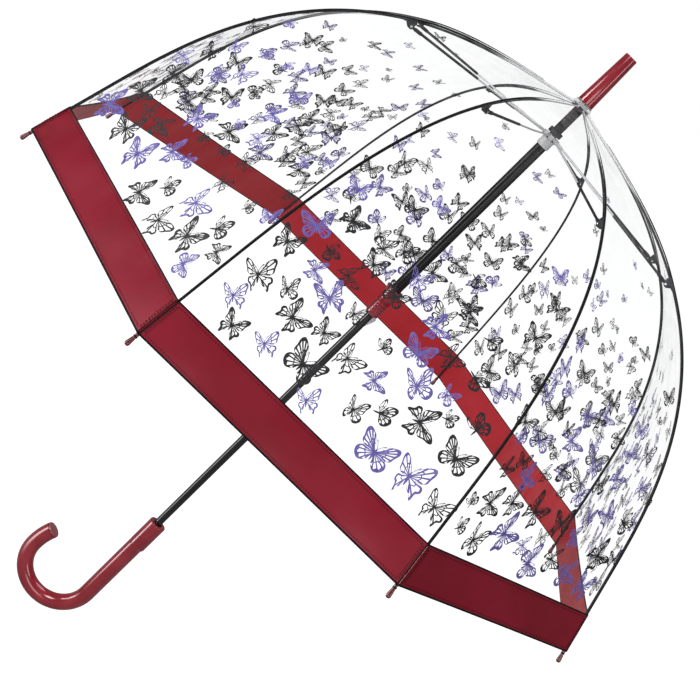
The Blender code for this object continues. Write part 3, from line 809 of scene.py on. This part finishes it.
def make_tip(k):
    """The red end cap of a rib, with the black thread that ties the hem to it."""
    turn, number = rib_turn(k), k + 1
    end = Vector(upright(turn, *rib_place(RIB_LENGTH + 0.0004)))
    tilt = Matrix.Rotation(-(math.pi / 2 - float(slope_at(RIB_LENGTH))), 4, "Y")
    place = Matrix.Translation(end) @ Matrix.Rotation(turn, 4, "Z") @ tilt
    long, narrow, wide = 0.0145, 0.0019, 0.0027
    cap = [
        (0.0011, 0.0002), (narrow, 0), (narrow * 0.96, -0.25 * long), (wide, -0.80 * long),
        (wide * 0.9, -0.93 * long), (wide * 0.45, -long), (0, -long),
    ]
    thread_r = narrow + 0.0004
    thread = [(narrow, -0.0022), (thread_r, -0.0026), (thread_r, -0.0032), (narrow, -0.0036)]
    shape = Shape()
    shape.turned(softened(cap, 0.0010, 5), place, steps=32)
    shape.turned(thread, place, steps=32, slot=1)
    tip = shape.make(f"tip_cap_{number}", [RED_TIP, THREAD])
    place_piece(tip, f"rib_lower_{number}", "red_plastic", f"rib_tip_{number}")


# ---- canopy

def lay_on_film(thing, k, part):
    """Puts a piece on its gore's film panel, so it moves with that panel, and gives it a mesh of its own."""
    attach(thing, f"panel_{part}_{k + 1}")
    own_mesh(thing)


def make_film(k, part):
    """One gore's film, from the crown to the fold or from the fold to the hem's edge."""
    if part == "upper":
        along = np.concatenate([np.linspace(FILM_START, 0.06, 16)[:-1], np.linspace(0.06, FLEX_AT, 44)])
    else:
        along = np.linspace(FLEX_AT, RIB_LENGTH - 0.0006, 54)
    across = np.sin(np.linspace(-1, 1, 25) * math.pi / 2 * 0.92) / math.sin(math.pi / 2 * 0.92)
    half = gore_half_width(along)
    pleats = 0.0007 * np.exp(-along / 0.05)[:, None] * np.sin(across * 7.0)[None]
    puckers = 0.0005 * np.exp(-(RIB_LENGTH - along) / 0.06)[:, None] * np.sin(across * 23 + k)[None]
    puckers = puckers * np.abs(across[None]) ** 3
    lift = (pleats + puckers) * (1 - across**4)[None]
    shape = Shape()
    shape.grid(film_place(k, along[:, None], half[:, None] * across[None], lift))
    film = shape.make(f"film_{part}_{k + 1}", [FILM], merge=0)
    lay_on_film(film, k, part)
    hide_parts(f"panel_{part}_{k + 1}")
    chords = 2 * half
    length = along[-1] - along[0]
    area = float(((chords[1:] + chords[:-1]) / 2 * np.diff(along)).sum())
    return film, (float(chords.max()), float(length)), area


def hem_slack(k, drop, across):
    """How far the hem stands off the film, drop below its top and across (-1 to 1) its gore."""
    bow = np.sin(math.pi * drop / HEM_WIDTH)
    wave = 0.00045 * np.sin(9.3 * across + 1.7 * k) * bow
    return wave + 0.0003 * np.sin(26 * across + 0.9 * k) * np.exp(-drop / 0.012) + 0.0004 * bow


def make_hem(k):
    """The red hem: a folded band, its bound edges and its stitches."""
    number = k + 1
    axis = sideways(gore_turn(k))
    drop = np.linspace(0, HEM_WIDTH, 15)
    across = np.linspace(-1, 1, 61)
    along = HEM_TOP + drop
    side = (gore_half_width(along)[:, None] - 0.0007) * across[None]
    slack = hem_slack(k, drop[:, None], across[None])
    outer = film_place(k, along[:, None], side, 0.0006 + slack)
    inner = film_place(k, along[::-1, None], side[::-1], -0.0004)
    shape = Shape()
    rows, columns = len(drop), len(across)
    # Painted light on the inner layer of the band.
    tone = np.repeat([0.0, 1.0, 0.0], [rows, rows, 1])
    shape.grid(np.concatenate([outer, inner, outer[:1]]), tone=tone)
    for column, flip in ((0, False), (columns - 1, True)):
        for i in range(rows - 1):
            a, b = i * columns + column, (i + 1) * columns + column
            c, d = (2 * rows - 2 - i) * columns + column, (2 * rows - 1 - i) * columns + column
            shape.faces.append([a, d, c, b] if flip else [a, b, c, d])
            shape.slots.append(0)
    hem = shape.make(f"hem_{number}", [VINYL], sharp=60)

    trim = Shape()
    for at, radius in ((HEM_TOP, 0.00085), (RIB_LENGTH - 0.0004, 0.0010)):
        edge = (gore_half_width(at) - 0.0002) * across
        trim.tube(film_place(k, at, edge, 0.0004), radius, (0, 0, 1), sides=10)
    for end in (-1, 1):
        line = np.linspace(HEM_TOP + 0.001, RIB_LENGTH - 0.001, 12)
        trim.tube(film_place(k, line, end * (gore_half_width(line) - 0.0012), 0.0010), 0.00045, axis, sides=8)
    binding = trim.make(f"hem_binding_{number}", [BINDING])

    stitches = Shape()
    for at in (HEM_TOP + 0.0032, RIB_LENGTH - 0.0036):
        half = float(gore_half_width(at))
        width = half - 0.004
        count = int(2 * width / STITCH_PITCH)
        for i in range(count):
            middle = -width + (i + 0.5) * 2 * width / count
            lift = STITCH_RISE + hem_slack(k, at - HEM_TOP, middle / half)
            stitches.tube(film_place(k, at, STITCH_STEPS + middle, lift), STITCH_RADIUS, (0, 0, 1), sides=5)
    for end in (-1, 1):
        for inset in (0.0030, 0.0046):
            for at in np.arange(HEM_TOP + 0.005, RIB_LENGTH - 0.005, STITCH_PITCH):
                line = at + STITCH_STEPS
                place = end * (gore_half_width(line) - inset)
                lift = STITCH_RISE + hem_slack(k, line - HEM_TOP, place / gore_half_width(line))
                stitches.tube(film_place(k, line, place, lift), STITCH_RADIUS, axis, sides=5)
    sewn = stitches.make(f"hem_stitches_{number}", [THREAD], merge=0)
    for piece in (hem, binding, sewn):
        lay_on_film(piece, k, "lower")
    return [hem, binding, sewn]


def make_seam(k):
    """The bound seam over a rib: a thin line by the crown, then a sleeve on the rib below the clip."""
    turn = rib_turn(k)
    along = np.linspace(0.045, HEM_TOP + 0.001, 150)
    closer = np.clip((along - CLIP_AT + 0.03) / 0.05, 0, 1)
    closer = closer * closer * (3 - 2 * closer)
    radius = 0.00020 + 0.00050 * np.clip((along - 0.07) / 0.07, 0, 1) + 0.00065 * closer
    lift = FILM_LIFT + 0.0004 - 0.0014 * closer
    shape = Shape()
    shape.tube(upright(turn, *rib_place(along, lift)), radius, sideways(turn))
    seam = shape.make(f"seam_{k + 1}", [BINDING])
    bend_with_rib(seam, k)


def make_gathering():
    """The canopy's centre, bunched under the ferrule."""
    turn = np.linspace(0, 2 * math.pi, 193)[:-1]
    octagon = math.cos(HALF_GORE) / np.cos((turn - FIRST_RIB) % STEP - HALF_GORE)
    edge_r, edge_z = (float(v) for v in rib_place(FILM_START, FILM_LIFT))
    hole_r, top = 0.0053, CROWN_Z - 0.00015
    folds = np.sin(24 * turn + 2.2 * np.sin(5 * turn))
    rows = []
    for share in np.linspace(0, 1, 12):
        reach = hole_r + (edge_r - hole_r) * share
        radius = reach * (1 - share**2 + share**2 * octagon)
        fold = 0.00045 * math.sin(math.pi * share) ** 0.7 * folds * (share > 0.5)
        drop = (top - edge_z) * max(0, (share - 0.62) / 0.38) ** 1.3
        height = top - drop + np.where(reach > 0.0102, fold, 0)
        rows.append(np.stack([radius * np.cos(turn), radius * np.sin(turn), height], axis=-1))
    shape = Shape()
    shape.grid(np.array(rows), wrap=True)
    place_piece(shape.make("film_gathering", [GATHER], merge=0), "root", "clear_film")


# ---- printed butterflies

def ribbon(line, inner):
    """Quads between two lines of points."""
    return np.stack([line[:-1], line[1:], inner[1:], inner[:-1]], axis=1)


def stroke(line, widths):
    """Quads along a line of points, as wide as widths says."""
    line = np.asarray(line, float)
    ahead = np.gradient(line, axis=0)
    ahead /= np.linalg.norm(ahead, axis=1)[:, None] + 1e-12
    side = np.stack([-ahead[:, 1], ahead[:, 0]], axis=1) * np.asarray(widths)[:, None] / 2
    return ribbon(line + side, line - side)


def smooth_line(corners):
    """A smooth line through all the corners."""
    p = np.asarray(corners, float)
    p = np.vstack([2 * p[0] - p[1], p, 2 * p[-1] - p[-2]])
    found = []
    for before, start, end, after in zip(p, p[1:], p[2:], p[3:]):
        bend, twist = 2 * before - 5 * start + 4 * end - after, 3 * start - before - 3 * end + after
        for t in np.arange(5) / 5:
            found.append(0.5 * (2 * start + (end - before) * t + bend * t**2 + twist * t**3))
    return np.array(found + [p[-2]])


def wing(corners, rim, veins):
    """The ink of one wing: its outline, heavier at the outer margin, its veins and its cell."""
    outline = smooth_line(corners)
    share = np.linspace(0, 1, len(outline))
    reach = np.linalg.norm(outline, axis=1)
    heavy = np.clip((reach / reach.max() - 0.62) / 0.38, 0, 1)
    widths = 0.038 + rim * heavy * (0.75 + 0.25 * np.cos(share * 46))
    inner = outline * (1 - np.minimum(widths / np.maximum(reach, 0.05), 0.6))[:, None]
    quads = [ribbon(outline, inner)]
    for v in np.linspace(0.24, 0.80, veins):
        tip = np.array([np.interp(v, share, outline[:, 0]), np.interp(v, share, outline[:, 1])])
        bow = np.array([-tip[1], tip[0]]) * 0.14 * (v - 0.5)
        quads.append(stroke([tip * 0.06, tip * 0.5 + bow, tip * 0.95], [0.018, 0.030, 0.046]))
    inside = (share > 0.22) & (share < 0.80)
    cell = outline[inside] * (0.5 + 0.05 * np.sin(share[inside] * 22))[:, None]
    quads.append(stroke(cell, np.full(len(cell), 0.026)))
    return np.concatenate(quads)


def body_ink(lean=0.0):
    """The ink of the body and its two feelers."""
    share, t = np.linspace(0, 1, 7), np.linspace(0, 1, 5)
    line = np.stack([lean * (share - 0.5), -0.22 + 0.34 * share], axis=1)
    quads = [stroke(line, 0.065 * np.sin(math.pi * np.clip(share, 0.06, 0.95)) ** 0.6)]
    for side in (-1, 1):
        feeler = np.stack([side * (0.02 + 0.12 * t**1.5) + lean / 2, 0.11 + 0.17 * t], axis=1)
        quads.append(stroke(feeler, [0.014, 0.014, 0.014, 0.016, 0.030]))
    return np.concatenate(quads)


def reshaped(quads, across, ahead=1.0):
    """The same ink stretched. A minus stretch mirrors it and keeps its faces turned outwards."""
    quads = quads * np.array([across, ahead])
    return quads[:, ::-1] if across * ahead < 0 else quads


# Half outlines of the wings, with the body on the Y axis. The folded ones are seen from the side
FORE_WIDE = (
    (0, 0.02), (0.12, 0.22), (0.30, 0.38), (0.46, 0.43), (0.51, 0.33), (0.46, 0.18), (0.41, 0.04),
    (0.22, -0.02), (0, -0.01),
)
FORE_SWEPT = (
    (0, 0.02), (0.11, 0.27), (0.28, 0.44), (0.43, 0.48), (0.46, 0.38), (0.40, 0.22), (0.37, 0.05),
    (0.20, -0.02), (0, -0.02),
)
HIND_ROUND = (
    (0, -0.01), (0.20, -0.02), (0.38, -0.05), (0.44, -0.17), (0.38, -0.30), (0.25, -0.37), (0.13, -0.31),
    (0.06, -0.17), (0, -0.06),
)
HIND_TAILED = (
    (0, -0.01), (0.20, -0.02), (0.38, -0.07), (0.40, -0.19), (0.31, -0.27), (0.29, -0.40), (0.25, -0.45),
    (0.20, -0.34), (0.10, -0.26), (0, -0.06),
)
FORE_FOLDED = (
    (0, 0), (0.0, 0.20), (0.10, 0.39), (0.25, 0.49), (0.36, 0.45), (0.36, 0.28), (0.26, 0.10), (0, 0)
)
HIND_FOLDED = (
    (0, 0), (0.16, 0.09), (0.35, 0.16), (0.46, 0.07), (0.43, -0.10), (0.30, -0.21), (0.13, -0.15), (0, 0)
)

# Fore wing, hind wing, how heavy their margins are, veins, and how wide the far side looks
STYLES = {
    "wide": (FORE_WIDE, HIND_ROUND, 0.07, 6, 1.0),
    "tailed": (FORE_SWEPT, HIND_TAILED, 0.10, 6, 1.0),
    "turned": (FORE_SWEPT, HIND_ROUND, 0.08, 5, 0.55),
    "swift": (FORE_WIDE, HIND_TAILED, 0.06, 4, 0.62),
    "dark": (FORE_SWEPT, HIND_TAILED, 0.15, 6, 0.9),
    "small": (FORE_WIDE, HIND_ROUND, 0.10, 3, 0.85),
}


def butterfly(style):
    """The ink of one butterfly, about 1 across, as an array of quads."""
    if style == "side":
        near, far = [wing(FORE_FOLDED, 0.10, 5), wing(HIND_FOLDED, 0.09, 5)], wing(FORE_FOLDED, 0.06, 3)
        body = (body_ink() @ np.array([[0.45, -0.89], [0.89, 0.45]])) * 0.9
        return np.concatenate([*near, reshaped(far, -0.5, 0.92), body]) - np.array([0.12, 0.18])
    fore, hind, rim, veins, far = STYLES[style]
    right = np.concatenate([wing(fore, rim, veins), wing(hind, rim, veins - 1)])
    return np.concatenate([right, reshaped(right, -far), body_ink(0.05 * (1 - far))])


# Wingspan and butterflies per gore in each stretch of the film: (along, span, how many)
SWARM = (
    (0.555, 0.038, 9), (0.520, 0.034, 9), (0.484, 0.031, 9), (0.449, 0.027, 8), (0.416, 0.025, 8),
    (0.384, 0.023, 6), (0.353, 0.020, 5), (0.322, 0.018, 3), (0.288, 0.016, 2), (0.250, 0.015, 1),
    (0.205, 0.014, 1),
)
VIOLET_SHARE = 0.36


def scatter(k):
    """Where one gore's butterflies go: along, side, span, lean, style and ink."""
    chance = random.Random(40 + k)
    placed = []
    for at, span, count in SWARM:
        half = float(gore_half_width(at))
        found = 0
        for _ in range(900):
            if found == count:
                break
            size = span * chance.choice((1.1, 1.0, 1.0, 0.9, 0.7))
            along = at + chance.uniform(-0.019, 0.019)
            side = chance.uniform(-1, 1) * (half - size * 0.46)
            if along + size * 0.46 > HEM_TOP - 0.001:
                continue
            if any(math.hypot(p[0] - along, p[1] - side) < 0.455 * (p[2] + size) for p in placed):
                continue
            lean = math.radians(chance.choice((-55, -35, -20, 0, 15, 30, 50)) + chance.uniform(-12, 12))
            violet = chance.random() < VIOLET_SHARE
            if size > 0.015:
                style = chance.choice(("wide", "tailed", "turned", "side", "swift", "dark"))
            else:
                style = chance.choice(("small", "side"))
            placed.append((along, side, size, lean, style, violet))
            found += 1
    return placed


def make_prints(k):
    """The printed butterflies of one gore, by the part of the film they are on."""
    shapes = {"upper": Shape(), "lower": Shape()}
    for along, side, size, lean, style, violet in scatter(k):
        quads = butterfly(style)
        cos, sin = math.cos(lean), math.sin(lean)
        x = (quads[..., 0] * cos - quads[..., 1] * sin) * size
        y = (quads[..., 0] * sin + quads[..., 1] * cos) * size
        part = "upper" if along < FLEX_AT else "lower"
        lift = 0.00016 + (0.00004 if violet else 0)
        places = film_place(k, along - y, side + x, lift).reshape(-1, 3)
        faces = np.arange(len(places)).reshape(-1, 4)
        shapes[part].add(places, faces, 1 if violet else 0)
    made = {}
    for part, shape in shapes.items():
        if shape.count:
            made[part] = shape.make(f"print_{part}_{k + 1}", [INK_BLACK, INK_VIOLET], merge=0)
            lay_on_film(made[part], k, part)
    return made


# ---- studio

def make_floor():
    """A pale floor. Gloss also shows a bright card lying on it, a wedge to one side of the umbrella."""
    mesh = bpy.data.meshes.new("floor")
    work = bmesh.new()
    bmesh.ops.create_grid(work, x_segments=1, y_segments=1, size=40)
    work.to_mesh(mesh)
    work.free()
    floor = linked("floor", mesh)
    floor.location.z = cad_low.z - 0.0005
    surface = Surface("pale_floor", (0.45, 0.45, 0.45), 0.8, specular=0.1)
    cloud = surface.ramp(surface.noise(2), (0.3, (0.43,) * 3), (0.7, (0.47,) * 3))
    surface.links.new(cloud, surface.shader.inputs["Base Color"])
    surface.shader.inputs["Emission Color"].default_value = (1, 1, 1, 1)
    ray = surface.node("LightPath").outputs
    turn = surface.node("TexGradient", Vector=surface.place)
    turn.gradient_type = "RADIAL"
    reach = surface.node("VectorMath", Vector=surface.place)
    reach.operation = "LENGTH"
    wedge = ((0.018, (0.03,) * 3), (0.040, (1,) * 3), (0.068, (1,) * 3), (0.092, (0,) * 3))
    away = surface.span(reach.outputs["Value"], 0.0, 1.0, 0.12, 0.25)
    card = surface.math("MULTIPLY", surface.ramp(turn.outputs["Fac"], *wedge), away)
    mirrored = surface.math("MULTIPLY", surface.math("MULTIPLY", ray["Is Glossy Ray"], 7.0), card)
    glow = surface.math("ADD", surface.math("MULTIPLY", ray["Is Camera Ray"], 0.95), mirrored)
    surface.links.new(glow, surface.shader.inputs["Emission Strength"])
    surface.material.cycles.emission_sampling = "NONE"
    mesh.materials.append(surface.material)


def make_world():
    """A white backdrop for the camera and a dimmer room for everything else."""
    world = bpy.data.worlds.new("studio")
    bpy.context.scene.world = world
    world.use_nodes = True
    nodes, links = world.node_tree.nodes, world.node_tree.links
    backdrop, room = nodes["Background"], nodes.new("ShaderNodeBackground")
    for node, colour, strength in ((backdrop, (1, 1, 1, 1), 1.0), (room, (0.97, 0.98, 1.0, 1), 0.17)):
        node.inputs["Color"].default_value = colour
        node.inputs["Strength"].default_value = strength
    seen = nodes.new("ShaderNodeLightPath")
    mix = nodes.new("ShaderNodeMixShader")
    links.new(seen.outputs["Is Camera Ray"], mix.inputs["Fac"])
    links.new(room.outputs["Background"], mix.inputs[1])
    links.new(backdrop.outputs["Background"], mix.inputs[2])
    links.new(mix.outputs["Shader"], nodes["World Output"].inputs["Surface"])


def add_light(name, place, size, power, target=(0, 0, 0.36)):
    light = bpy.data.lights.new(name, "AREA")
    light.shape = "RECTANGLE"
    light.size, light.size_y = size
    light.energy = power
    lamp = linked(name, light)
    lamp.location = place
    lamp.rotation_mode = "QUATERNION"
    lamp.rotation_quaternion = (Vector(target) - Vector(place)).to_track_quat("-Z", "Y")


def make_camera():
    angles = (CAMERA_AZIMUTH, CAMERA_ELEVATION, CAMERA_ROLL)
    azimuth, elevation, roll = (math.radians(angle) for angle in angles)
    level = math.cos(elevation)
    ahead = Vector((-math.sin(azimuth) * level, math.cos(azimuth) * level, -math.sin(elevation)))
    right = Vector((math.cos(azimuth), math.sin(azimuth), 0))
    target = Vector(CAMERA_TARGET) + right * CAMERA_TARGET_SIDE
    up = right.cross(ahead)
    side = right * math.cos(roll) + up * math.sin(roll)
    top = up * math.cos(roll) - right * math.sin(roll)
    data = bpy.data.cameras.new("camera")
    data.lens, data.sensor_width = CAMERA_LENS, 36
    data.shift_x, data.shift_y = CAMERA_SHIFT
    camera = linked("camera", data)
    spin = Matrix((side, top, -ahead)).transposed().to_4x4()
    camera.matrix_world = Matrix.Translation(target - ahead * CAMERA_DISTANCE) @ spin
    bpy.context.scene.camera = camera


make_camera()
make_world()
make_floor()
add_light("key", (-1.4, -2.0, 1.9), (1.0, 1.0), 30)
add_light("front", (0.5, -2.7, 0.2), (1.4, 1.2), 15, (0, 0, 0.2))
add_light("side_box", (-2.2, -0.9, 0.1), (0.8, 1.7), 24)
add_light("fill", (2.1, -1.6, 0.9), (0.7, 1.6), 11)
add_light("top", (0.2, 0.5, 2.6), (1.5, 1.5), 20)
bpy.context.scene.view_settings.view_transform = "Standard"

make_shaft()
make_ferrule()
make_crown()
make_runner()
make_handle()
finish_catches()
make_gathering()
for gore in range(RIB_COUNT):
    make_rib(gore)
    make_clip(gore)
    make_stretcher(gore)
    make_tip(gore)
    make_seam(gore)
    on_film = {"upper": [], "lower": make_hem(gore)}
    for part, prints in make_prints(gore).items():
        on_film[part].append(prints)
    for part in ("upper", "lower"):
        film, flat, area = make_film(gore, part)
